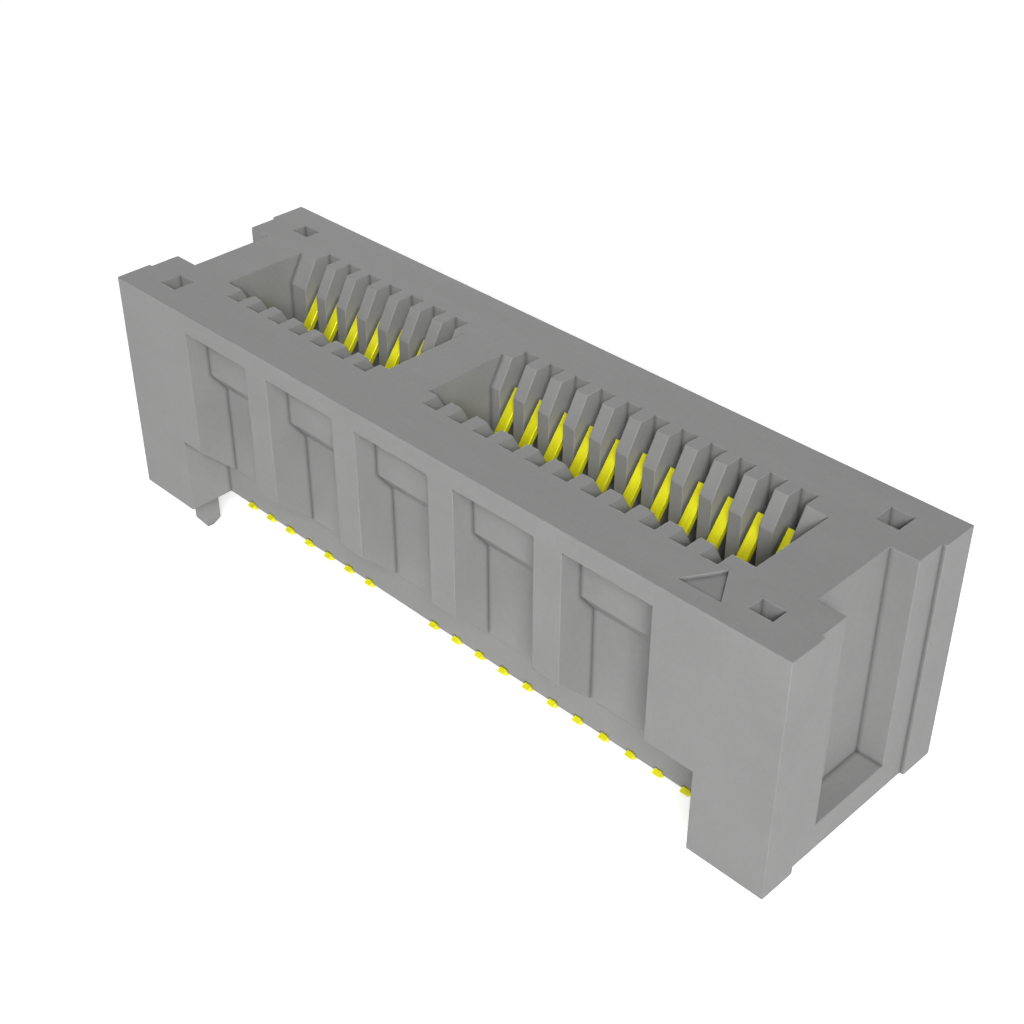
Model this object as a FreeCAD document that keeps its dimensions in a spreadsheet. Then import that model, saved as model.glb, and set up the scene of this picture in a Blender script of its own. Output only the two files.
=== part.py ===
import FreeCAD, Part
import math
import os
import Sketcher

# Board-mounted card-edge connector, one lane wide: a moulded housing that holds
# two facing rows of formed spring contacts with curled solder tails.
# Millimetres. X runs along the slot, Y across it and Z up. The origin is the centre
# of the footprint, level with the soles of the two feet.

DRIVING = {
    # Housing block
    "end_margin": 3.80,
    "body_depth": 7.48,
    "body_height": 7.79,
    # Feet at the two ends, and the narrow stem between them
    "left_foot_length": 2.58,
    "right_foot_length": 2.49,
    "stem_wall": 0.295,
    "stem_height": 1.13,
    "skirt_height": 2.73,
    # Contact places: first contact at the right end, key gap after the long group
    "contact_pitch": 1.00,
    "key_spacing": 3.00,
    "long_count": 11,
    "short_count": 7,
    "row_y": 1.75,
    # Card slot and its lead-in
    "slot_width": 1.93,
    "mouth_width": 2.97,
    "mouth_depth": 0.92,
    "slot_floor": 1.40,
    "slot_outer_margin": 1.00,
    "slot_key_margin": 0.65,
    # Contact cavities, retainer seats and tail ways
    "cavity_side_gap": 0.025,
    "cavity_back_gap": 0.215,
    "cavity_floor": 1.60,
    "retainer_seat": 0.75,
    "seat_gap": 0.01,
    "tail_gap": 0.02,
    "notch_height": 0.13,
    # Cored windows in both long faces
    "window_count": 5,
    "window_rib": 1.00,
    "window_left_margin": 3.49,
    "window_right_margin": 4.11,
    "window_head": 0.69,
    "window_shallow": 0.75,
    "window_wall": 0.385,
    "window_slope_top": 5.33,
    "window_slope_foot": 4.615,
    # End faces
    "end_step": 0.12,
    "end_middle_width": 5.00,
    "end_recess_width": 2.98,
    "left_recess_depth": 1.05,
    "right_recess_depth": 0.98,
    "end_recess_floor": 0.95,
    # Corner pockets in the top and the two board pegs
    "left_corner_inset": 1.65,
    "right_corner_inset": 1.58,
    "corner_y": 2.60,
    "corner_length": 0.70,
    "corner_wide": 0.72,
    "corner_narrow": 0.52,
    "corner_depth": 3.50,
    "peg_width": 0.62,
    "peg_length": 1.30,
    "peg_tip_width": 0.24,
    "peg_tip_length": 0.32,
    # First-contact mark, a shallow triangle
    "mark_offset": 0.62,
    "mark_base_y": 3.15,
    "mark_width": 1.30,
    "mark_height": 1.09,
    "mark_depth": 0.10,
    # Spring contact
    "strip_thickness": 0.18,
    "beam_width": 0.34,
    "retainer_width": 0.50,
    "retainer_height": 0.80,
    "barb_bite": 0.04,
    "barb_count": 2,
    "tail_width": 0.25,
    "tail_radius": 0.25,
    "tail_drop": 0.16,
    "tail_tip_height": 0.065,
    "root_height": 2.20,
    "root_radius": 0.80,
    "apex_y": 0.51,
    "apex_depth": 2.41,
    "apex_radius": 0.60,
    "tip_y": 1.572,
    "tip_depth": 1.004,
}


class Size:
    """A length with the sheet formula that it comes from, so that both stay in step."""

    def __init__(self, value, formula):
        self.value = value
        self.formula = formula

    def join(self, other, sign, result):
        return Size(result, f"({self.formula} {sign} {as_size(other).formula})")

    def __add__(self, other):
        return self.join(other, "+", self.value + as_size(other).value)

    def __sub__(self, other):
        return self.join(other, "-", self.value - as_size(other).value)

    def __mul__(self, other):
        return self.join(other, "*", self.value * as_size(other).value)

    def __truediv__(self, other):
        return self.join(other, "/", self.value / as_size(other).value)

    def __neg__(self):
        return Size(-self.value, f"(-1 * {self.formula})")


def as_size(value):
    return value if isinstance(value, Size) else Size(float(value), repr(value))


def fill_sheet(doc):
    """Write the driving dimensions to the sheet and return them by name."""
    sheet = doc.addObject("Spreadsheet::Sheet", "Sizes")
    names = {}
    for row, (alias, value) in enumerate(DRIVING.items(), start=1):
        sheet.set(f"A{row}", alias)
        sheet.set(f"B{row}", str(value))
        sheet.setAlias(f"B{row}", alias)
        names[alias] = Size(value, f"Sizes.{alias}")
    doc.recompute()
    return names


def bind(target, path, size):
    target.setExpression(path, as_size(size).formula)


def origin_feature(body, role):
    return next(item for item in body.Origin.OriginFeatures if item.Role == role)


def new_body(doc, label):
    body = doc.addObject("PartDesign::Body", label)
    body.Label = label
    return body


def new_sketch(body, name, plane, offset=0):
    """A sketch on one of the body's own origin planes, moved along its normal."""
    sketch = body.newObject("Sketcher::SketchObject", name)
    sketch.AttachmentSupport = [(origin_feature(body, plane), "")]
    sketch.MapMode = "FlatFace"
    bind(sketch, "AttachmentOffset.Base.z", offset)
    return sketch


def place_point(sketch, geometry, position, x, y):
    """Tie one end of a sketch element to the sheet by its distances from the origin."""
    for kind, size in (("DistanceX", as_size(x)), ("DistanceY", as_size(y))):
        pin = Sketcher.Constraint(kind, -1, 1, geometry, position, size.value)
        index = sketch.addConstraint(pin)
        bind(sketch, f"Constraints[{index}]", size)


def vector(x, y):
    return FreeCAD.Vector(as_size(x).value, as_size(y).value, 0)


def polygon(sketch, corners):
    """A closed outline whose every corner is tied to the sheet."""
    first = sketch.GeometryCount
    count = len(corners)
    points = [vector(x, y) for x, y in corners]
    edges = [Part.LineSegment(points[i], points[(i + 1) % count]) for i in range(count)]
    sketch.addGeometry(edges, False)
    joints = [
        Sketcher.Constraint("Coincident", first + i, 2, first + (i + 1) % count, 1)
        for i in range(count)
    ]
    sketch.addConstraint(joints)
    for i, (x, y) in enumerate(corners):
        place_point(sketch, first + i, 1, x, y)


def rectangle(sketch, left, right, low, high):
    polygon(sketch, [(left, low), (right, low), (right, high), (left, high)])


def pad(body, name, sketch, length, downward=False, symmetric=False):
    feature = body.newObject("PartDesign::Pad", name)
    feature.Profile = sketch
    feature.SideType = "Symmetric" if symmetric else "One side"
    feature.Reversed = downward
    bind(feature, "Length", length)
    return feature


def pocket(body, name, sketch, length):
    feature = body.newObject("PartDesign::Pocket", name)
    feature.Profile = sketch
    bind(feature, "Length", length)
    return feature


def row_of(body, name, originals, spacing, count, towards_left=False):
    """Repeat features along the length of the connector."""
    pattern = body.newObject("PartDesign::LinearPattern", name)
    pattern.Originals = originals
    pattern.Direction = (origin_feature(body, "X_Axis"), [""])
    pattern.Reversed = towards_left
    pattern.Mode = "Spacing"
    bind(pattern, "Offset", spacing)
    bind(pattern, "Occurrences", count)
    body.Tip = pattern
    return pattern


def body_half_length(s):
    """Half of the block: both groups of contacts, the key gap and a margin at each end."""
    steps = s["contact_pitch"] * (s["long_count"] + s["short_count"] - 2)
    return (steps + s["key_spacing"]) / 2 + s["end_margin"]


def contact_x(s, pin):
    """Place of a contact along the slot: pins are counted from the right-hand end."""
    run = body_half_length(s) - s["end_margin"] - s["contact_pitch"] * (pin - 1)
    if pin > DRIVING["long_count"]:
        run = run + s["contact_pitch"] - s["key_spacing"]
    return run


def slot_ends(s):
    """Left and right end of the long slot and of the short slot."""
    first = contact_x(s, 1)
    long_last = first - s["contact_pitch"] * (s["long_count"] - 1)
    short_first = long_last - s["key_spacing"]
    short_last = short_first - s["contact_pitch"] * (s["short_count"] - 1)
    long_slot = (long_last - s["slot_key_margin"], first + s["slot_outer_margin"])
    short_slot = (short_last - s["slot_outer_margin"], short_first + s["slot_key_margin"])
    return {"Long": long_slot, "Short": short_slot}


def cavity_reach(s):
    """Distance from the slot's middle to the back wall of a contact cavity."""
    return s["row_y"] + s["strip_thickness"] / 2 + s["cavity_back_gap"]


def seat_reach(s):
    """Distance from the slot's middle to the outer wall of a retainer seat."""
    return s["row_y"] + s["strip_thickness"] / 2 + s["seat_gap"]


def add_block(body, s):
    """The outer block, thinned between its feet to a stem with sloping shoulders."""
    half_length = body_half_length(s)
    half_depth = s["body_depth"] / 2
    outline = new_sketch(body, "BlockOutline", "XY_Plane")
    rectangle(outline, -half_length, half_length, -half_depth, half_depth)
    pad(body, "Block", outline, s["body_height"])

    right_foot_face = half_length - s["right_foot_length"]
    left_foot_face = s["left_foot_length"] - half_length
    clearance = new_sketch(body, "UndersideOutline", "YZ_Plane", right_foot_face)
    stem_side = seat_reach(s) + s["stem_wall"]
    for side in (1, -1):
        polygon(clearance, [
            (stem_side * side, -s["stem_height"]),
            (stem_side * side, s["stem_height"]),
            (half_depth * side, s["skirt_height"]),
            ((half_depth + s["stem_height"]) * side, s["skirt_height"]),
            ((half_depth + s["stem_height"]) * side, -s["stem_height"]),
        ])
    pocket(body, "Underside", clearance, right_foot_face - left_foot_face)


def add_windows(body, s):
    """Rows of cored windows: a shallow panel, a slope, then a deeper open-ended panel."""
    half_depth = s["body_depth"] / 2
    outside = half_depth + s["window_shallow"]
    top = s["body_height"] - s["window_head"]
    margins = s["window_left_margin"] + s["window_right_margin"]
    ribs = s["window_rib"] * (s["window_count"] - 1)
    width = (body_half_length(s) * 2 - margins - ribs) / s["window_count"]
    first_right = s["window_left_margin"] + width - body_half_length(s)
    profile = new_sketch(body, "WindowOutline", "YZ_Plane", first_right)
    for side in (1, -1):
        shallow = (half_depth - s["window_shallow"]) * side
        deep = (cavity_reach(s) + s["window_wall"]) * side
        polygon(profile, [
            (outside * side, top),
            (shallow, top),
            (shallow, s["window_slope_top"]),
            (deep, s["window_slope_foot"]),
            (deep, s["stem_height"]),
            (outside * side, s["stem_height"]),
        ])
    window = pocket(body, "Window", profile, width)
    row_of(body, "WindowRow", [window], width + s["window_rib"], s["window_count"])


def add_ends(body, s):
    """End faces set back between two proud strips, with a deep recess open at the top."""
    half_length = body_half_length(s)
    half_middle = s["end_middle_width"] / 2
    half_recess = s["end_recess_width"] / 2
    step = new_sketch(body, "EndStepOutline", "XY_Plane", s["body_height"])
    recess = new_sketch(body, "EndRecessOutline", "XY_Plane", s["body_height"])
    for side, depth in ((1, s["right_recess_depth"]), (-1, s["left_recess_depth"])):
        outer = (half_length + s["end_step"]) * side
        rectangle(step, (half_length - s["end_step"]) * side, outer, -half_middle, half_middle)
        rectangle(recess, (half_length - depth) * side, outer, -half_recess, half_recess)
    pocket(body, "EndStep", step, s["body_height"])
    pocket(body, "EndRecess", recess, s["body_height"] - s["end_recess_floor"])


def add_slots(body, s):
    """The two card slots with the key rib between them, each with a sloping lead-in."""
    half_slot = s["slot_width"] / 2
    half_mouth = s["mouth_width"] / 2
    outline = new_sketch(body, "SlotOutline", "XY_Plane", s["body_height"])
    for left, right in slot_ends(s).values():
        rectangle(outline, left, right, -half_slot, half_slot)
    pocket(body, "Slot", outline, s["body_height"] - s["slot_floor"])

    throat = s["body_height"] - s["mouth_depth"]
    for name, (left, right) in slot_ends(s).items():
        mouth = new_sketch(body, f"{name}MouthOutline", "YZ_Plane", right)
        polygon(mouth, [
            (-half_slot, throat),
            (half_slot, throat),
            (half_mouth, s["body_height"]),
            (-half_mouth, s["body_height"]),
        ])
        pocket(body, f"{name}Mouth", mouth, right - left)


def add_contact_places(body, s):
    """Comb of cavities in both slot walls, with a retainer seat and a tail way below each."""
    half_strip = s["strip_thickness"] / 2
    seat_inner = s["row_y"] - half_strip - s["seat_gap"]
    seat_outer = seat_reach(s)
    way_inner = s["row_y"] - half_strip - s["tail_gap"]
    way_outer = s["row_y"] + half_strip + s["tail_gap"]
    outside = s["body_depth"] / 2
    groups = (
        ("Long", contact_x(s, 1), s["long_count"]),
        ("Short", contact_x(s, DRIVING["long_count"] + 1), s["short_count"]),
    )
    for name, start, count in groups:
        cavity = new_sketch(body, f"{name}CavityOutline", "XY_Plane", s["body_height"])
        half_cavity = s["retainer_width"] / 2 + s["cavity_side_gap"]
        reach = cavity_reach(s)
        rectangle(cavity, start - half_cavity, start + half_cavity, -reach, reach)
        cut_cavity = pocket(body, f"{name}Cavity", cavity, s["body_height"] - s["cavity_floor"])

        seat = new_sketch(body, f"{name}SeatOutline", "XY_Plane", s["cavity_floor"])
        half_seat = s["retainer_width"] / 2 + s["seat_gap"]
        rectangle(seat, start - half_seat, start + half_seat, seat_inner, seat_outer)
        rectangle(seat, start - half_seat, start + half_seat, -seat_outer, -seat_inner)
        cut_seat = pocket(body, f"{name}Seat", seat, s["cavity_floor"] - s["retainer_seat"])

        way_width = s["tail_width"] + s["tail_gap"] * 2
        way = new_sketch(body, f"{name}WayOutline", "YZ_Plane", start + way_width / 2)
        for side in (1, -1):
            polygon(way, [
                (way_inner * side, -s["notch_height"]),
                (way_inner * side, s["retainer_seat"]),
                (way_outer * side, s["retainer_seat"]),
                (way_outer * side, s["notch_height"]),
                (outside * side, s["notch_height"]),
                (outside * side, -s["notch_height"]),
            ])
        cut_way = pocket(body, f"{name}Way", way, way_width)

        cuts = [cut_cavity, cut_seat, cut_way]
        row_of(body, f"{name}Comb", cuts, s["contact_pitch"], count, towards_left=True)


def corner_columns(s):
    """Places along the block of the left and right corner pockets and pegs."""
    half_length = body_half_length(s)
    return s["left_corner_inset"] - half_length, half_length - s["right_corner_inset"]


def add_corner_pockets(body, s):
    """Blind square pockets in the top, wide over the pegs and narrow at the other corners."""
    outline = new_sketch(body, "CornerPocketOutline", "XY_Plane", s["body_height"])
    left, right = corner_columns(s)
    corners = (
        (left, -s["corner_y"], s["corner_wide"]),
        (left, s["corner_y"], s["corner_narrow"]),
        (right, -s["corner_y"], s["corner_narrow"]),
        (right, s["corner_y"], s["corner_wide"]),
    )
    half = s["corner_length"] / 2
    for x, y, width in corners:
        rectangle(outline, x - half, x + half, y - width / 2, y + width / 2)
    pocket(body, "CornerPocket", outline, s["corner_depth"])


def add_mark(body, s):
    """Shallow triangle beside the first contact, pointing at the slot."""
    outline = new_sketch(body, "MarkOutline", "XY_Plane", s["body_height"])
    middle = contact_x(s, 1) + s["mark_offset"]
    base = -s["mark_base_y"]
    polygon(outline, [
        (middle - s["mark_width"] / 2, base),
        (middle + s["mark_width"] / 2, base),
        (middle, base + s["mark_height"]),
    ])
    pocket(body, "Mark", outline, s["mark_depth"])


def add_pegs(body, s):
    """Two square board pegs at opposite corners, each with a four-sided tapered tip."""
    left, right = corner_columns(s)
    places = (
        ("Left", left, -s["corner_y"]),
        ("Right", right, s["corner_y"]),
    )
    half = s["peg_width"] / 2
    half_end = s["peg_tip_width"] / 2
    shank = new_sketch(body, "PegOutline", "XY_Plane")
    for _, x, y in places:
        rectangle(shank, x - half, x + half, y - half, y + half)
    pad(body, "Peg", shank, s["peg_length"], downward=True)

    for name, x, y in places:
        wide = new_sketch(body, f"{name}TipRoot", "XY_Plane", -s["peg_length"])
        rectangle(wide, x - half, x + half, y - half, y + half)
        end_height = -(s["peg_length"] + s["peg_tip_length"])
        narrow = new_sketch(body, f"{name}TipEnd", "XY_Plane", end_height)
        rectangle(narrow, x - half_end, x + half_end, y - half_end, y + half_end)
        tip = body.newObject("PartDesign::AdditiveLoft", f"{name}Tip")
        tip.Profile = wide
        tip.Sections = [narrow]
        tip.Ruled = True


def make_housing(doc, s):
    body = new_body(doc, "housing")
    add_block(body, s)
    add_windows(body, s)
    add_ends(body, s)
    add_corner_pockets(body, s)
    add_mark(body, s)
    add_pegs(body, s)
    add_slots(body, s)
    add_contact_places(body, s)
    return body


def bent_path(sketch, corners, radii):
    """Straight runs through the given corners, joined by tangent arcs of the given radii."""
    points = [vector(x, y) for x, y in corners]
    starts, ends = points[:-1], points[1:]
    arcs = []
    for i, radius in enumerate(radii, start=1):
        before = (points[i - 1] - points[i]).normalize()
        after = (points[i + 1] - points[i]).normalize()
        half_angle = before.getAngle(after) / 2
        inward = (before + after).normalize()
        reach = radius.value / math.tan(half_angle)
        ends[i - 1] = points[i] + before * reach
        starts[i] = points[i] + after * reach
        gap = radius.value / math.sin(half_angle) - radius.value
        arcs.append(Part.Arc(ends[i - 1], points[i] + inward * gap, starts[i]))
    lines = [Part.LineSegment(a, b) for a, b in zip(starts, ends)]
    sketch.addGeometry(lines, False)
    first_arc = sketch.GeometryCount
    sketch.addGeometry(arcs, False)

    place_point(sketch, 0, 1, *corners[0])
    place_point(sketch, len(lines) - 1, 2, *corners[-1])
    for i, radius in enumerate(radii):
        corner = sketch.addGeometry(Part.Point(points[i + 1]), True)
        place_point(sketch, corner, 1, *corners[i + 1])
        for line in (i, i + 1):
            sketch.addConstraint(Sketcher.Constraint("PointOnObject", corner, 1, line))
        tangent_ends(sketch, i, 2, first_arc + i)
        tangent_ends(sketch, i + 1, 1, first_arc + i)
        index = sketch.addConstraint(Sketcher.Constraint("Radius", first_arc + i, radius.value))
        bind(sketch, f"Constraints[{index}]", radius)


def tangent_ends(sketch, line, line_end, arc):
    """Join a line's end to whichever end of the arc lies there, smoothly."""
    target = sketch.getPoint(line, line_end)
    gaps = [(sketch.getPoint(arc, end) - target).Length for end in (1, 2)]
    arc_end = 1 if gaps[0] < gaps[1] else 2
    sketch.addConstraint(Sketcher.Constraint("Tangent", line, line_end, arc, arc_end))


def make_contact(doc, s, label, pin, turned):
    """One stamped and formed contact: retainer plate, bowed beam above, curled tail below."""
    body = new_body(doc, label)
    row = s["row_y"]
    seat = s["retainer_seat"]
    middle = seat + s["retainer_height"] / 2

    plate = new_sketch(body, "RetainerOutline", "XZ_Plane", -row)
    half = s["retainer_width"] / 2
    root = half - s["barb_bite"]
    rise = s["retainer_height"] / s["barb_count"]
    right_side = []
    for tooth in range(DRIVING["barb_count"]):
        right_side.append((root, seat + rise * tooth))
        right_side.append((half, seat + rise * (tooth + 1)))
    left_side = [(-x, z) for x, z in reversed(right_side)]
    polygon(plate, right_side + left_side)
    pad(body, "Retainer", plate, s["strip_thickness"], symmetric=True)

    beam_path = new_sketch(body, "BeamPath", "YZ_Plane")
    corners = [
        (row, middle),
        (row, s["root_height"]),
        (s["apex_y"], s["body_height"] - s["apex_depth"]),
        (s["tip_y"], s["body_height"] - s["tip_depth"]),
    ]
    bent_path(beam_path, corners, [s["root_radius"], s["apex_radius"]])

    tail_path = new_sketch(body, "TailPath", "YZ_Plane")
    curl_height = s["tail_radius"] + s["strip_thickness"] / 2 - s["tail_drop"]
    curl_path(tail_path, row, middle, curl_height, s["tail_radius"], s["tail_tip_height"])

    half_strip = s["strip_thickness"] / 2
    sweeps = (("Beam", beam_path, s["beam_width"]), ("Tail", tail_path, s["tail_width"]))
    for name, path, width in sweeps:
        section = new_sketch(body, f"{name}Section", "XY_Plane", middle)
        rectangle(section, -(width / 2), width / 2, row - half_strip, row + half_strip)
        sweep = body.newObject("PartDesign::AdditivePipe", name)
        sweep.Profile = section
        sweep.Spine = path

    bind(body, "Placement.Base.x", contact_x(s, pin))
    if turned:
        body.Placement.Rotation = FreeCAD.Rotation(FreeCAD.Vector(0, 0, 1), 180)
    return body


def curl_path(sketch, row, top, curl_height, radius, tip_height):
    """Straight down, then one arc that curls outward and up to the solder tip."""
    centre = vector(row + radius, curl_height)
    drop = (curl_height - tip_height).value
    tip = centre + FreeCAD.Vector((radius.value ** 2 - drop ** 2) ** 0.5, -drop, 0)
    lowest = centre - FreeCAD.Vector(0, radius.value, 0)
    start = vector(row, curl_height)
    sketch.addGeometry(Part.LineSegment(vector(row, top), start), False)
    sketch.addGeometry(Part.Arc(start, lowest, tip), False)
    place_point(sketch, 0, 1, row, top)
    place_point(sketch, 1, 3, row + radius, curl_height)
    tangent_ends(sketch, 0, 2, 1)
    sketch.addConstraint(Sketcher.Constraint("Vertical", 0))
    gaps = [(sketch.getPoint(1, end) - tip).Length for end in (1, 2)]
    tip_end = 1 if gaps[0] < gaps[1] else 2
    pin = Sketcher.Constraint("DistanceY", -1, 1, 1, tip_end, tip_height.value)
    index = sketch.addConstraint(pin)
    bind(sketch, f"Constraints[{index}]", tip_height)


def make_contacts(doc, s):
    contacts = []
    for row, turned in (("back", False), ("front", True)):
        for pin in range(1, DRIVING["long_count"] + DRIVING["short_count"] + 1):
            contacts.append(make_contact(doc, s, f"contact_{row}_{pin:02d}", pin, turned))
    return contacts


def check_features(body):
    """Every added feature has to add volume and every cut has to remove some."""
    before = 0.0
    for feature in body.Group:
        if not feature.isDerivedFrom("PartDesign::Feature"):
            continue
        change = feature.Shape.Volume - before
        before = feature.Shape.Volume
        adding = feature.TypeId in ("PartDesign::Pad", "PartDesign::AdditivePipe",
                                    "PartDesign::AdditiveLoft")
        if (change > 0) != adding or abs(change) < 1e-6:
            raise RuntimeError(f"{body.Label}.{feature.Name} changed the volume by {change}")


def check_document(doc, bodies):
    for item in doc.Objects:
        if "Invalid" in item.State or "Error" in item.State:
            raise RuntimeError(f"{item.Label} failed: {item.State}")
    for body in bodies:
        if body.Shape.isNull() or not body.Shape.isValid():
            raise RuntimeError(f"{body.Label} has no valid shape")
        if len(body.Shape.Solids) != 1:
            raise RuntimeError(f"{body.Label} is in {len(body.Shape.Solids)} pieces")
        check_features(body)


def main():
    doc = FreeCAD.newDocument("CardEdgeConnector")
    sizes = fill_sheet(doc)
    bodies = [make_housing(doc, sizes)] + make_contacts(doc, sizes)
    doc.recompute()
    check_document(doc, bodies)
    os.makedirs("parts", exist_ok=True)
    for body in bodies:
        body.Shape.exportStep(f"parts/{body.Label}.step")
        print(f"{body.Label}: {body.Shape.Volume:.4f} mm3")


main()
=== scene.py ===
import logging
import math
from dataclasses import dataclass, field
from enum import Enum
from typing import Any

import bmesh
import bpy
from mathutils import Matrix, Vector


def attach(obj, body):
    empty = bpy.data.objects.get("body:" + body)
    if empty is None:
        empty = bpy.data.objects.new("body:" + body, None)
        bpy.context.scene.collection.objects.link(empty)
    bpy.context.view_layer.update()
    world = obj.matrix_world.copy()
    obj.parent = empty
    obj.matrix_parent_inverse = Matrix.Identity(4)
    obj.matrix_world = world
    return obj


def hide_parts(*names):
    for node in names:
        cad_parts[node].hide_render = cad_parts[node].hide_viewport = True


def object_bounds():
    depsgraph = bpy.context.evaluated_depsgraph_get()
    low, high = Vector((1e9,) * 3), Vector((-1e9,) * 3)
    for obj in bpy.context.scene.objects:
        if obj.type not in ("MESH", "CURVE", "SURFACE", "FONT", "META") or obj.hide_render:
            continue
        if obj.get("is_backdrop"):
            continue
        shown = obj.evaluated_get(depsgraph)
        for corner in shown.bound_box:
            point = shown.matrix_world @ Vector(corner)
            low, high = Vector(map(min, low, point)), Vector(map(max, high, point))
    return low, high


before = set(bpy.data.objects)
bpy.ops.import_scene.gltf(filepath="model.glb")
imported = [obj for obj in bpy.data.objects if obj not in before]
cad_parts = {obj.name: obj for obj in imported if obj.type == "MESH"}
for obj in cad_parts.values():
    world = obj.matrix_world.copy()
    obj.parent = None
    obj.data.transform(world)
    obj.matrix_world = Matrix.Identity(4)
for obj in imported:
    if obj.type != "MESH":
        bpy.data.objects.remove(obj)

# Dressing and studio for a board-mounted card-edge connector: the moulded housing
# gets rounded edges and a grained plastic with painted shade in its inner corners, and the
# sprung contacts are formed again as smooth strip. Lengths are in millimetres until a mesh
# is written, which is in metres.

MM = 0.001
BODY = "root"
WHITE = (1.0, 1.0, 1.0, 1.0)
log = logging.getLogger("connector")

Tone = tuple[float, float, float]


# Shader maths


class Wire:
    """A node socket that carries a number, with Python arithmetic that adds Math nodes."""

    def __init__(self, graph: "Graph", socket: bpy.types.NodeSocket) -> None:
        """Keep the socket and the graph that new Math nodes go into.

        Args:
            graph: The material or world graph that the socket is in.
            socket: The output socket to carry on from.
        """
        self.graph = graph
        self.socket = socket

    def _math(self, operation: str, *values: "Wire | float") -> "Wire":
        """Add one Math node.

        Args:
            operation: The Math node's operation.
            *values: Wires or numbers for its inputs, in order.

        Returns:
            The wire from the node's result.
        """
        inputs = dict(enumerate(values))
        return self.graph.node("ShaderNodeMath", {"operation": operation}, inputs)

    def __add__(self, other: "Wire | float") -> "Wire":
        """Sum of the two."""
        return self._math("ADD", self, other)

    def __radd__(self, other: "Wire | float") -> "Wire":
        """Sum, with the number first."""
        return self._math("ADD", other, self)

    def __sub__(self, other: "Wire | float") -> "Wire":
        """Difference of the two."""
        return self._math("SUBTRACT", self, other)

    def __rsub__(self, other: "Wire | float") -> "Wire":
        """Difference, with the number first."""
        return self._math("SUBTRACT", other, self)

    def __mul__(self, other: "Wire | float") -> "Wire":
        """Product of the two."""
        return self._math("MULTIPLY", self, other)

    def __rmul__(self, other: "Wire | float") -> "Wire":
        """Product, with the number first."""
        return self._math("MULTIPLY", other, self)

    def between(self, low: float, high: float) -> "Wire":
        """Ramp from 0 at the low value to 1 at the high value, clamped.

        Args:
            low: The value that gives 0.
            high: The value that gives 1.

        Returns:
            The clamped ramp.
        """
        inputs = {"Value": self, "From Min": low, "From Max": high}
        return self.graph.node("ShaderNodeMapRange", {"clamp": True}, inputs)

    def swing(self, width: float) -> "Wire":
        """Noise from 0 to 1 turned into a swing of a given width about 0."""
        return (self - 0.5) * width


@dataclass(frozen=True)
class Grain:
    """One layer of soft noise on a finish.

    Attributes:
        size: Width of one blotch in millimetres.
        detail: Number of finer layers.
        rough: Strength of each finer layer.
        share: Its share of the colour's mottle.
        stretch: Scale of each axis, for grain that runs one way.
    """

    size: float
    detail: float
    rough: float
    share: float
    stretch: Tone | None = None


class Graph:
    """The node tree of one material or world."""

    def __init__(self, owner: bpy.types.Material | bpy.types.World) -> None:
        """Empty the owner's node tree and start with its output node.

        Args:
            owner: The material or world whose nodes are made here.
        """
        owner.use_nodes = True
        self.tree = owner.node_tree
        self.tree.nodes.clear()
        kind = "World" if isinstance(owner, bpy.types.World) else "Material"
        self.end = self.tree.nodes.new(f"ShaderNodeOutput{kind}")

    def node(
        self, kind: str, settings: dict[str, Any], inputs: dict[int | str, Any],
        result: int | str | None = None,
    ) -> Wire:
        """Add a node, set it up and join its inputs.

        Args:
            kind: The node's Blender type name.
            settings: The node's own properties, set before its sockets.
            inputs: A value or a wire for each socket, by name or by number.
            result: The output wanted, by name or by number, or None for the first that is in use.

        Returns:
            The wire from the wanted output.
        """
        made = self.tree.nodes.new(kind)
        for name, value in settings.items():
            setattr(made, name, value)
        for key, value in inputs.items():
            target = made.inputs[key]
            if isinstance(value, Wire):
                self.tree.links.new(value.socket, target)
            else:
                target.default_value = value
        if result is None:
            result = next(i for i, socket in enumerate(made.outputs) if socket.enabled)
        return Wire(self, made.outputs[result])

    def finish(self, shader: Wire) -> None:
        """Join the last shader to the tree's surface output."""
        self.tree.links.new(shader.socket, self.end.inputs["Surface"])

    def place(self) -> Wire:
        """Place on the object in metres."""
        return self.node("ShaderNodeTexCoord", {}, {}, "Object")

    def direct(self) -> Wire:
        """Tell the rays that see the background from those that only carry light.

        Returns:
            1 for rays from the camera, off a glossy surface or through a clear one.
        """
        rays = ("Is Camera Ray", "Is Glossy Ray", "Is Transmission Ray")
        seen, mirrored, through = (self.node("ShaderNodeLightPath", {}, {}, ray) for ray in rays)
        return (seen + mirrored + through).between(0.0, 1.0)

    def noise(self, place: Wire, layer: Grain) -> Wire:
        """Soft noise from 0 to 1.

        Args:
            place: The vector that it is read at, in metres.
            layer: The noise's size, detail and direction.

        Returns:
            The noise value.
        """
        if layer.stretch:
            axes = {0: place, 1: layer.stretch}
            place = self.node("ShaderNodeVectorMath", {"operation": "MULTIPLY"}, axes, "Vector")
        inputs = {
            "Vector": place, "Scale": 1.0 / (layer.size * MM),
            "Detail": layer.detail, "Roughness": layer.rough,
        }
        return self.node("ShaderNodeTexNoise", {}, inputs, 0)

    def mottle(self, noises: list[Wire], layers: list[Grain], span: tuple[float, float]) -> Wire:
        """Weigh the noises by their layers' shares and spread the sum from 0 to 1.

        Args:
            noises: The noise of each layer.
            layers: The layers, in the same order.
            span: The two sums that give 0 and 1.

        Returns:
            The mottle from 0 to 1.
        """
        first, *others = [noise * layer.share for noise, layer in zip(noises, layers)]
        return sum(others, first).between(*span)

    def tint(self, factor: Wire, first: Any, second: Any) -> Wire:
        """Mix two colours.

        Args:
            factor: 0 for the first colour, 1 for the second.
            first: A colour or a wire with one.
            second: A colour or a wire with one.

        Returns:
            The wire with the mixed colour.
        """
        settings = {"data_type": "RGBA", "clamp_factor": True}
        return self.node("ShaderNodeMix", settings, {0: factor, 6: first, 7: second}, 2)


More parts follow.
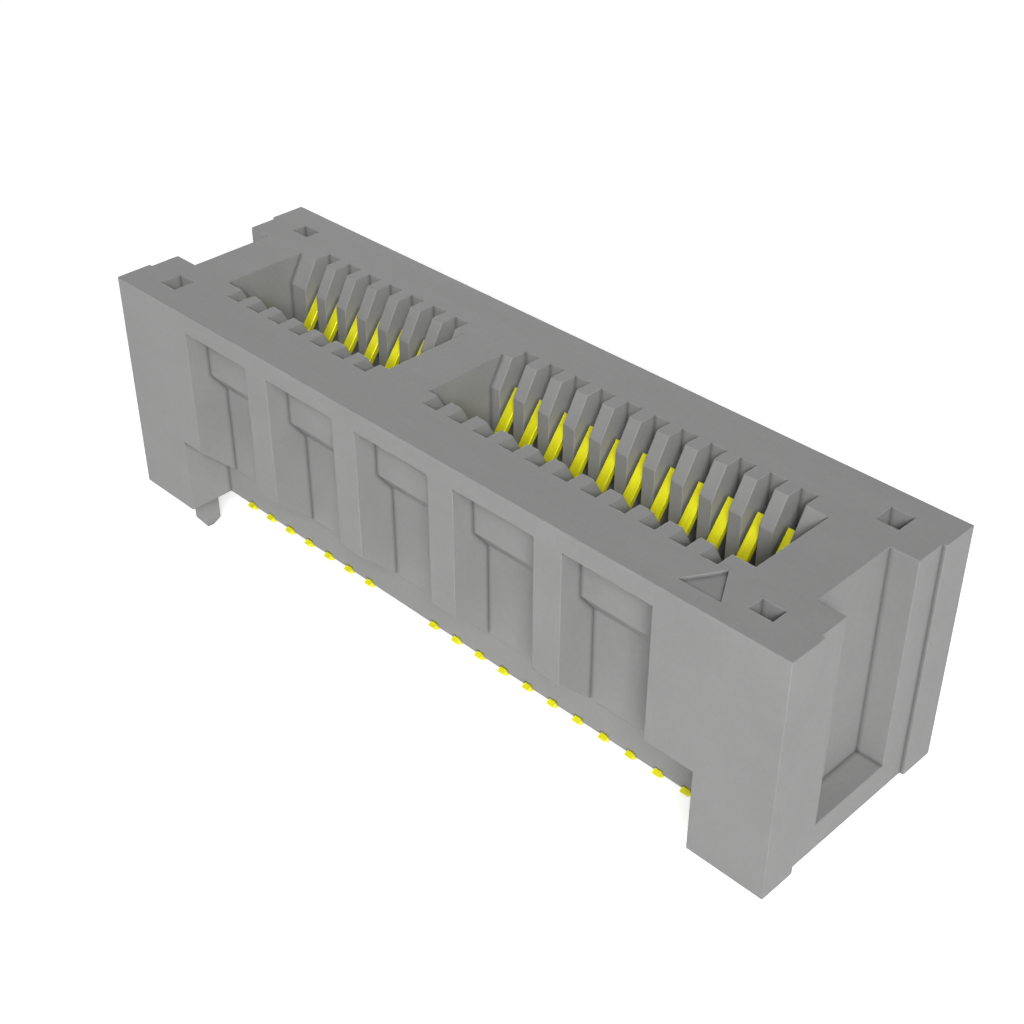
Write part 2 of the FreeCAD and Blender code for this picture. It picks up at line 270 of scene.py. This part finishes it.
def colour(tone: Tone) -> tuple[float, float, float, float]:
    """The tone as an opaque colour."""
    return (*tone, 1.0)


# Finishes


@dataclass(frozen=True)
class MouldedPlastic:
    """Grey moulded thermoplastic with a fine eroded texture, and painted shade that darkens its
    creases.

    Attributes:
        pale: Colour of the lighter patches.
        deep: Colour of the darker patches.
        painted_shade_tone: Colour of the painted shade that the inner corners tend to.
        erosion: The fine texture of the mould.
        pits: Coarser pits in it.
        cloud: Broad patches of tone.
        flow: Streaks along the flow of the plastic.
        mottle_span: Sums of the layers that give the darker and the lighter colour.
        painted_shade_reach: Distance over which the painted shade darkens an inner corner.
        painted_shade_samples: Samples for that painted shade.
        painted_shade_span: Openness at which the painted shade is full and at which it ends.
        painted_shade_strength: How far the painted shade's colour comes through.
        relief: Height of the texture.
        relief_strength: Strength of the texture's bumps.
        pit_relief: The pits' share of those bumps.
        roughness: Middle roughness.
        erosion_swing: Swing of the roughness with the fine texture.
        cloud_swing: Swing of the roughness with the broad patches.
        index: Index of refraction.
        shine: Level of the surface's reflection.
    """

    pale: Tone = (0.296, 0.296, 0.294)
    deep: Tone = (0.256, 0.256, 0.254)
    painted_shade_tone: Tone = (0.050, 0.050, 0.049)
    erosion: Grain = Grain(0.055, 2.0, 0.60, share=0.25)
    pits: Grain = Grain(0.1705, 3.0, 0.55, share=0.20)
    cloud: Grain = Grain(2.4, 3.0, 0.50, share=0.30)
    flow: Grain = Grain(1.1, 4.0, 0.60, share=0.25, stretch=(0.22, 1.0, 0.7))
    mottle_span: tuple[float, float] = (0.36, 0.64)
    painted_shade_reach: float = 0.15
    painted_shade_samples: int = 4
    painted_shade_span: tuple[float, float] = (0.40, 0.92)
    painted_shade_strength: float = 0.78
    relief: float = 0.012
    relief_strength: float = 0.16
    pit_relief: float = 0.4
    roughness: float = 0.60
    erosion_swing: float = 0.18
    cloud_swing: float = 0.12
    index: float = 1.5
    shine: float = 0.24

    def material(self) -> bpy.types.Material:
        """Build the plastic.

        Returns:
            The finished material.
        """
        made = bpy.data.materials.new("housing_plastic")
        g = Graph(made)
        place = g.place()
        layers = [self.erosion, self.pits, self.cloud, self.flow]
        noises = [g.noise(place, layer) for layer in layers]
        erosion, pits, cloud, _ = noises
        mottle = g.mottle(noises, layers, self.mottle_span)
        body = g.tint(mottle, colour(self.deep), colour(self.pale))

        # Painted shade: ambient occlusion darkens the colour towards the shade tone in inner
        # corners and creases.
        settings = {"samples": self.painted_shade_samples}
        reach = {"Distance": self.painted_shade_reach * MM}
        open_air = g.node("ShaderNodeAmbientOcclusion", settings, reach, "AO")
        painted_shade_mask = 1 - open_air.between(*self.painted_shade_span)
        colour_with_painted_shade = g.tint(painted_shade_mask * self.painted_shade_strength, body, colour(self.painted_shade_tone))

        normal = g.node("ShaderNodeBump", {}, {
            "Strength": self.relief_strength, "Distance": self.relief * MM,
            "Height": erosion * (1 - self.pit_relief) + pits * self.pit_relief})
        swings = erosion.swing(self.erosion_swing) + cloud.swing(self.cloud_swing)
        g.finish(g.node("ShaderNodeBsdfPrincipled", {}, {
            "Base Color": colour_with_painted_shade, "Roughness": self.roughness + swings, "Normal": normal,
            "IOR": self.index, "Specular IOR Level": self.shine}))
        return made


@dataclass(frozen=True)
class GiltStrip:
    """Bright yellow plated spring strip with fine lines from rolling.

    Attributes:
        bright: Colour of the brighter lines.
        deep: Colour of the darker lines.
        lines: The lines from rolling.
        patches: Uneven patches of plating.
        mottle_span: Sums of the layers that give the darker and the brighter colour.
        relief: Height of the lines.
        relief_strength: Strength of the lines' bumps.
        roughness: Middle roughness.
        line_swing: Swing of the roughness with the lines.
        patch_swing: Swing of the roughness with the patches.
        metallic: How much of the colour reflects as metal.
        shine: Level of the surface's reflection.
    """

    bright: Tone = (0.98, 0.96, 0.022)
    deep: Tone = (0.84, 0.80, 0.014)
    lines: Grain = Grain(0.030, 2.0, 0.60, share=0.55, stretch=(1.0, 0.05, 0.05))
    patches: Grain = Grain(0.45, 3.0, 0.55, share=0.45)
    mottle_span: tuple[float, float] = (0.34, 0.66)
    relief: float = 0.003
    relief_strength: float = 0.10
    roughness: float = 0.34
    line_swing: float = 0.16
    patch_swing: float = 0.14
    metallic: float = 0.35
    shine: float = 0.30

    def material(self) -> bpy.types.Material:
        """Build the plating.

        Returns:
            The finished material.
        """
        made = bpy.data.materials.new("contact_metal")
        g = Graph(made)
        place = g.place()
        layers = [self.lines, self.patches]
        noises = [g.noise(place, layer) for layer in layers]
        lines, patches = noises
        mottle = g.mottle(noises, layers, self.mottle_span)
        plating = g.tint(mottle, colour(self.deep), colour(self.bright))
        normal = g.node("ShaderNodeBump", {}, {
            "Strength": self.relief_strength, "Distance": self.relief * MM, "Height": lines})
        swings = lines.swing(self.line_swing) + patches.swing(self.patch_swing)
        g.finish(g.node("ShaderNodeBsdfPrincipled", {}, {
            "Base Color": plating, "Roughness": self.roughness + swings, "Normal": normal,
            "Metallic": self.metallic, "Specular IOR Level": self.shine}))
        return made


@dataclass(frozen=True)
class PaleFloor:
    """White studio floor that keeps the object's shadow and lets a view from below through.

    Attributes:
        tone: The colour that the lamps light.
        lift: Glow that the camera and reflections see on top of it.
        fade_from: Distance in millimetres at which the floor starts to turn plain white.
        fade_to: Distance in millimetres from which it is plain white.
    """

    tone: Tone = (0.86, 0.86, 0.86)
    lift: float = 0.57
    fade_from: float = 50.0
    fade_to: float = 115.0

    def material(self) -> bpy.types.Material:
        """Build the floor's finish.

        Returns:
            The finished material.
        """
        made = bpy.data.materials.new("studio_floor")
        g = Graph(made)
        direct = g.direct()
        matte = g.node("ShaderNodeBsdfDiffuse", {}, {"Color": colour(self.tone)})
        glow = g.node("ShaderNodeEmission", {}, {"Color": WHITE, "Strength": self.lift})
        lifted = g.node("ShaderNodeAddShader", {}, {0: matte, 1: glow})
        near = g.node("ShaderNodeMixShader", {}, {0: direct, 1: matte, 2: lifted})
        reach = g.node("ShaderNodeVectorMath", {"operation": "LENGTH"}, {0: g.place()}, "Value")
        far = reach.between(self.fade_from * MM, self.fade_to * MM) * direct
        white = g.node("ShaderNodeEmission", {}, {"Color": WHITE, "Strength": 1.0})
        whole = g.node("ShaderNodeMixShader", {}, {0: far, 1: near, 2: white})
        below = g.node("ShaderNodeNewGeometry", {}, {}, "Backfacing") * direct
        clear = g.node("ShaderNodeBsdfTransparent", {}, {"Color": WHITE})
        g.finish(g.node("ShaderNodeMixShader", {}, {0: below, 1: whole, 2: clear}))
        return made


# Shared mesh work


def put_away(mesh: bmesh.types.BMesh, name: str, finish: bpy.types.Material) -> bpy.types.Object:
    """Write a mesh made in millimetres as a smooth-shaded object in metres.

    Args:
        mesh: The mesh, which is freed.
        name: Name of the object and its data.
        finish: The material of the whole piece.

    Returns:
        The new object, linked to the scene.
    """
    for face in mesh.faces:
        face.smooth = True
    mesh.transform(Matrix.Scale(MM, 4))
    data = bpy.data.meshes.new(name)
    mesh.to_mesh(data)
    mesh.free()
    data.materials.append(finish)
    made = bpy.data.objects.new(name, data)
    bpy.context.scene.collection.objects.link(made)
    return made


def stand_in(piece: bpy.types.Object, node: str) -> None:
    """Let a piece ride on the body in place of a CAD node.

    Args:
        piece: The finished piece.
        node: The CAD node that it stands for.
    """
    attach(piece, BODY)
    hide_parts(node)


def report(piece: bpy.types.Object) -> None:
    """Log a piece's name, its facets and its size in millimetres.

    Args:
        piece: The finished piece.
    """
    shown = piece.evaluated_get(bpy.context.evaluated_depsgraph_get())
    shown.data.calc_loop_triangles()
    size = " x ".join(f"{span / MM:.3f}" for span in shown.dimensions)
    log.info("%s: %d triangles, %s mm", piece.name, len(shown.data.loop_triangles), size)


# Housing


@dataclass
class Housing:
    """The moulded housing with the small radii that a mould leaves on its outer edges.

    Attributes:
        finish: The plastic.
        edge_radius: Radius of the outer edges.
        shortest_edge: Length below which an edge stays sharp.
        wells: Half length, half width and top of the block that holds the retainer seats
            and tail ways.
        weld: Distance at which the facets' corners are joined.
        flat_angle: Degrees between facets that belong to one flat face.
        sharp_angle: Degrees from which an outward edge is rounded.
        radius_rows: Rows of facets round each radius.
        same_side: Cosine above which a neighbouring face shades a radius.
        node: The CAD node.
    """

    finish: MouldedPlastic = field(default_factory=MouldedPlastic)
    edge_radius: float = 0.03
    shortest_edge: float = 0.10
    wells: tuple[float, float, float] = (10.20, 2.12, 1.65)
    weld: float = 1e-4
    flat_angle: float = 0.5
    sharp_angle: float = 20.0
    radius_rows: int = 2
    same_side: float = 0.6
    node: str = "housing"

    def faces_joined(self) -> bmesh.types.BMesh:
        """The CAD node's mesh in millimetres, with the facets of each flat face joined.

        Returns:
            The joined mesh.
        """
        mesh = bmesh.new()
        mesh.from_mesh(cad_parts[self.node].data)
        mesh.transform(Matrix.Scale(1 / MM, 4))
        bmesh.ops.remove_doubles(mesh, verts=mesh.verts, dist=self.weld)
        limit = math.radians(self.flat_angle)
        bmesh.ops.dissolve_limit(mesh, angle_limit=limit, verts=mesh.verts, edges=mesh.edges)
        return mesh

    def in_wells(self, edge: bmesh.types.BMEdge) -> bool:
        """Tell whether an edge is down in the retainer seats and tail ways, which stay sharp.

        Args:
            edge: The edge.

        Returns:
            True where its middle lies in that block.
        """
        middle = (edge.verts[0].co + edge.verts[1].co) / 2
        length, width, height = self.wells
        return abs(middle.x) < length and abs(middle.y) < width and middle.z < height

    def outward_edges(self, mesh: bmesh.types.BMesh) -> list[bmesh.types.BMEdge]:
        """Outward edges in the open that are long enough to take a radius.

        Args:
            mesh: The joined mesh.

        Returns:
            The edges to round.
        """
        sharp = math.radians(self.sharp_angle)
        return [
            edge for edge in mesh.edges
            if edge.calc_face_angle_signed() > sharp
            and edge.calc_length() >= self.shortest_edge and not self.in_wells(edge)
        ]

    def shading(self, mesh: bmesh.types.BMesh, rounded: set[bmesh.types.BMFace]) -> list[Vector]:
        """Directions that keep flat faces flat and let each radius run into them.

        Args:
            mesh: The rounded mesh.
            rounded: The faces of its radii.

        Returns:
            One direction for each corner of each face, in the mesh's order.
        """
        directions = []
        for face in mesh.faces:
            for loop in face.loops:
                if face not in rounded:
                    directions.append(face.normal.copy())
                    continue
                around = loop.vert.link_faces
                close = [f for f in around if f.normal.dot(face.normal) > self.same_side]
                flat = [f for f in close if f not in rounded]
                total = sum((f.normal for f in flat or close), Vector())
                directions.append(total.normalized())
        return directions

    def build(self) -> bpy.types.Object:
        """Make the rounded housing and let it stand for the CAD node.

        Returns:
            The finished piece.
        """
        mesh = self.faces_joined()
        edges = self.outward_edges(mesh)
        log.info("housing: %d flat faces, %d edges rounded", len(mesh.faces), len(edges))
        made = bmesh.ops.bevel(
            mesh, geom=edges, offset=self.edge_radius, offset_type="OFFSET",
            segments=self.radius_rows, profile=0.5, affect="EDGES", clamp_overlap=False,
            loop_slide=True,
        )
        mesh.normal_update()
        directions = self.shading(mesh, set(made["faces"]))
        piece = put_away(mesh, "housing_moulding", self.finish.material())
        piece.data.normals_split_custom_set(directions)
        stand_in(piece, self.node)
        report(piece)
        return piece


# Contacts


class Row(Enum):
    """The two rows of contacts, with the turn that faces each to the slot."""

    BACK = 0.0
    FRONT = math.pi


@dataclass(frozen=True)
class Ring:
    """One cross-section of the strip: its middle, its outward direction and its width."""

    y: float
    z: float
    normal_y: float
    normal_z: float
    width: float


@dataclass
class SpringContact:
    """One formed contact: barbed retainer, bowed beam and curled solder tail.

    Attributes:
        row_y: Distance of the retainer from the middle of the slot.
        thickness: Thickness of the strip.
        beam_width: Width of the beam.
        retainer_width: Width of the retainer over its barbs.
        retainer_low: Height of the retainer's lower end.
        retainer_high: Height of its upper end.
        barb_bite: How far a barb stands out on each side.
        teeth: Number of barbs on each side.
        tail_width: Width of the solder tail.
        tail_radius: Radius of its curl, on the middle of the strip.
        tail_drop: How far the curl reaches below the soles of the feet.
        tail_tip_z: Height of the tail's cut end.
        corners: Y and Z of the beam's line, with its two bends in the middle.
        radii: Radius of each bend.
        softness: Width of the softened corners of the strip.
        arc_steps: Number of steps round a bend.
        curl_steps: Number of steps round the curl.
        crisp_angle: Degrees from which an edge is shaded sharp.
        no_area: Area in square millimetres below which a face counts as folded.
    """

    row_y: float = 1.75
    thickness: float = 0.18
    beam_width: float = 0.34
    retainer_width: float = 0.50
    retainer_low: float = 0.75
    retainer_high: float = 1.55
    barb_bite: float = 0.04
    teeth: int = 2
    tail_width: float = 0.25
    tail_radius: float = 0.25
    tail_drop: float = 0.16
    tail_tip_z: float = 0.065
    corners: tuple[tuple[float, float], ...] = (
        (1.75, 1.55), (1.75, 2.20), (0.51, 5.38), (1.572, 6.786),
    )
    radii: tuple[float, ...] = (0.80, 0.60)
    softness: float = 0.010
    arc_steps: int = 12
    curl_steps: int = 16
    crisp_angle: float = 30.0
    no_area: float = 1e-7

    def curl(self) -> list[Ring]:
        """The tail from its solder tip round the curl and up to the retainer.

        Returns:
            The rings in order.
        """
        centre_z = self.tail_radius + self.thickness / 2 - self.tail_drop
        centre_y = self.row_y + self.tail_radius
        end = math.asin((centre_z - self.tail_tip_z) / self.tail_radius)
        rings = []
        for i in range(self.curl_steps + 1):
            turn = -end - (math.pi - end) * i / self.curl_steps
            across, up = math.cos(turn), math.sin(turn)
            y = centre_y + self.tail_radius * across
            z = centre_z + self.tail_radius * up
            rings.append(Ring(y, z, -across, -up, self.tail_width))
        rings.append(Ring(self.row_y, self.retainer_low, 1.0, 0.0, self.tail_width))
        return rings

    def retainer(self) -> list[Ring]:
        """The plate that is pressed into the housing, with its barbs.

        Returns:
            The rings in order.
        """
        rise = (self.retainer_high - self.retainer_low) / self.teeth
        root = self.retainer_width - 2 * self.barb_bite
        rings = []
        for tooth in range(self.teeth):
            low = self.retainer_low + rise * tooth
            rings.append(Ring(self.row_y, low, 1.0, 0.0, root))
            rings.append(Ring(self.row_y, low + rise, 1.0, 0.0, self.retainer_width))
        return rings

    def beam(self) -> list[Ring]:
        """The bowed beam from the retainer to its tip, with its two bends.

        Returns:
            The rings in order.
        """
        points = [Vector(corner) for corner in self.corners]
        stations = [(points[0], (points[1] - points[0]).normalized())]
        for i, radius in enumerate(self.radii, start=1):
            into = (points[i] - points[i - 1]).normalized()
            away = (points[i + 1] - points[i]).normalized()
            bend = into.angle(away)
            reach = radius * math.tan(bend / 2)
            side = Vector((-into.y, into.x))
            if side.dot(away) < 0:
                side = -side
            start = points[i] - into * reach
            centre = start + side * radius
            for k in range(self.arc_steps + 1):
                turn = bend * k / self.arc_steps
                spot = centre - side * radius * math.cos(turn) + into * radius * math.sin(turn)
                heading = into * math.cos(turn) + side * math.sin(turn)
                stations.append((spot, heading))
        stations.append((points[-1], (points[-1] - points[-2]).normalized()))
        return [Ring(p.x, p.y, h.y, -h.x, self.beam_width) for p, h in stations]

    def section(self, ring: Ring) -> list[tuple[float, float, float]]:
        """Corners of the strip's section with its sheared edges softened.

        Args:
            ring: The place, direction and width of the section.

        Returns:
            Eight points round the section.
        """
        half_width = ring.width / 2
        half_thick = self.thickness / 2
        soft = self.softness
        flat = [
            (half_width - soft, half_thick), (half_width, half_thick - soft),
            (half_width, soft - half_thick), (half_width - soft, -half_thick),
            (soft - half_width, -half_thick), (-half_width, soft - half_thick),
            (-half_width, half_thick - soft), (soft - half_width, half_thick),
        ]
        return [(x, ring.y + ring.normal_y * t, ring.z + ring.normal_z * t) for x, t in flat]

    def form(self) -> bmesh.types.BMesh:
        """Skin the rings of the tail, retainer and beam as one closed strip.

        Returns:
            The strip in millimetres, on the middle of its own place, facing front.
        """
        mesh = bmesh.new()
        rings = self.curl() + self.retainer() + self.beam()
        loops = [[mesh.verts.new(point) for point in self.section(ring)] for ring in rings]
        for low, high in zip(loops, loops[1:]):
            for i in range(len(low)):
                j = (i + 1) % len(low)
                mesh.faces.new((low[i], low[j], high[j], high[i]))
        mesh.faces.new(list(reversed(loops[0])))
        mesh.faces.new(loops[-1])
        folded = [face for face in mesh.faces if face.calc_area() < self.no_area]
        seams = [max(face.edges, key=lambda edge: edge.calc_length()) for face in folded]
        bmesh.ops.dissolve_edges(mesh, edges=seams, use_verts=False)
        bmesh.ops.recalc_face_normals(mesh, faces=mesh.faces)
        for edge in mesh.edges:
            edge.smooth = edge.calc_face_angle() < math.radians(self.crisp_angle)
        return mesh


@dataclass
class ContactRows:
    """Both rows of contacts: eleven places, the key gap, then seven more.

    Attributes:
        finish: The plating.
        shape: The formed contact.
        first_x: Distance of the first contact along the slot.
        pitch: Distance between neighbours.
        key_spacing: Distance between the two contacts beside the key.
        long_count: Number of places in the long slot.
        short_count: Number of places in the short slot.
    """

    finish: GiltStrip = field(default_factory=GiltStrip)
    shape: SpringContact = field(default_factory=SpringContact)
    first_x: float = 9.50
    pitch: float = 1.00
    key_spacing: float = 3.00
    long_count: int = 11
    short_count: int = 7

    def place(self, pin: int) -> float:
        """Distance of a contact along the slot.

        Args:
            pin: The contact's number, from 1 at the right-hand end.

        Returns:
            Its X in millimetres.
        """
        x = self.first_x - self.pitch * (pin - 1)
        return x if pin <= self.long_count else x + self.pitch - self.key_spacing

    def build(self) -> list[bpy.types.Object]:
        """Form every contact and let each stand for its CAD node.

        Returns:
            The finished pieces.
        """
        metal = self.finish.material()
        pieces = []
        for row in Row:
            name = row.name.lower()
            turn = Matrix.Rotation(row.value, 4, "Z")
            for pin in range(1, self.long_count + self.short_count + 1):
                mesh = self.shape.form()
                mesh.transform(Matrix.Translation((self.place(pin), 0, 0)) @ turn)
                node = f"contact_{name}_{pin:02d}"
                piece = put_away(mesh, f"strip_{name}_{pin:02d}", metal)
                stand_in(piece, node)
                report(piece)
                pieces.append(piece)
        return pieces


# Studio


@dataclass(frozen=True)
class Softbox:
    """One soft lamp.

    Attributes:
        name: Its name.
        direction: Direction from the object.
        distance: Distance from the object.
        width: Width across.
        height: Height.
        power: Power in watts.
    """

    name: str
    direction: tuple[float, float, float]
    distance: float
    width: float
    height: float
    power: float


@dataclass
class Studio:
    """Camera at the photograph's angle, a pale floor, soft lamps and a plain sky.

    Attributes:
        eye: Place of the camera.
        gaze: Direction that it looks in.
        focal_pixels: Focal length in the photograph's pixels.
        frame_pixels: Width of the photograph in pixels.
        sensor: Width of the camera's sensor.
        clip: Nearest and farthest distance that the camera sees.
        horizon: Strength of the sky's light at the horizon.
        zenith: Strength of the sky's light overhead.
        floor_half: Half the width of the floor.
        floor_cells: Number of cells along each side of the floor.
        floor_finish: The floor's finish.
        lamps: The soft lamps.
    """

    eye: tuple[float, float, float] = (28.3617, -27.6629, 31.4229)
    gaze: tuple[float, float, float] = (-1.0, 1.0, -1.0)
    focal_pixels: float = 1621.0
    frame_pixels: float = 1024.0
    sensor: float = 36.0
    clip: tuple[float, float] = (1.0, 10000.0)
    horizon: float = 0.17
    zenith: float = 0.00
    floor_half: float = 300.0
    floor_cells: int = 24
    floor_finish: PaleFloor = field(default_factory=PaleFloor)
    lamps: tuple[Softbox, ...] = (
        Softbox("key", (0.76, -0.60, 0.22), 260.0, 160.0, 160.0, 0.14),
        Softbox("face", (0.58, -0.58, 0.58), 260.0, 90.0, 90.0, 0.66),
        Softbox("fill", (-0.75, -0.60, 0.20), 300.0, 200.0, 200.0, 0.05),
        Softbox("rear", (-0.70, 0.75, 0.08), 320.0, 220.0, 40.0, 0.75),
    )

    def add_camera(self) -> None:
        """Place the camera and make it the scene's own."""
        data = bpy.data.cameras.new("camera")
        data.sensor_width = self.sensor
        data.lens = self.sensor * self.focal_pixels / self.frame_pixels
        data.clip_start, data.clip_end = (distance * MM for distance in self.clip)
        camera = bpy.data.objects.new("camera", data)
        camera.location = Vector(self.eye) * MM
        camera.rotation_euler = Vector(self.gaze).to_track_quat("-Z", "Y").to_euler()
        bpy.context.scene.collection.objects.link(camera)
        bpy.context.scene.camera = camera

    def add_floor(self, level: float) -> None:
        """Lay the floor under the lowest point of the object.

        Args:
            level: Height of the floor in metres.
        """
        mesh = bmesh.new()
        cells = self.floor_cells
        bmesh.ops.create_grid(mesh, x_segments=cells, y_segments=cells, size=self.floor_half)
        floor = put_away(mesh, "floor", self.floor_finish.material())
        floor.location.z = level
        floor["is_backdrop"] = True

    def add_lamps(self) -> None:
        """Hang the soft lamps round the object, all aimed at it."""
        for box in self.lamps:
            data = bpy.data.lights.new(box.name, "AREA")
            data.shape = "RECTANGLE"
            data.size, data.size_y = box.width * MM, box.height * MM
            data.energy = box.power
            lamp = bpy.data.objects.new(box.name, data)
            away = Vector(box.direction).normalized()
            lamp.location = away * box.distance * MM
            lamp.rotation_euler = (-away).to_track_quat("-Z", "Y").to_euler()
            lamp.visible_camera = False
            bpy.context.scene.collection.objects.link(lamp)

    def add_sky(self) -> None:
        """White to the camera and in reflections, and as light a soft grey, darker overhead."""
        world = bpy.data.worlds.new("studio_sky")
        bpy.context.scene.world = world
        g = Graph(world)
        gaze = g.node("ShaderNodeTexCoord", {}, {}, "Generated")
        height = g.node("ShaderNodeSeparateXYZ", {}, {0: gaze}, "Z").between(0.0, 1.0)
        light = self.horizon - height * (self.horizon - self.zenith)
        strength = light + g.direct() * (1 - light)
        g.finish(g.node("ShaderNodeBackground", {}, {"Color": WHITE, "Strength": strength}))

    def build(self, level: float) -> None:
        """Set up the whole studio.

        Args:
            level: Height of the floor in metres.
        """
        self.add_camera()
        self.add_floor(level)
        self.add_lamps()
        self.add_sky()
        bpy.context.scene.view_settings.view_transform = "Standard"


# Building


def main() -> None:
    """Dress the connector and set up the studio."""
    logging.basicConfig(level=logging.INFO, format="%(message)s")
    cad_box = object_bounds()
    Studio().build(cad_box[0].z)
    Housing().build()
    ContactRows().build()


if __name__ == "__main__":
    main()
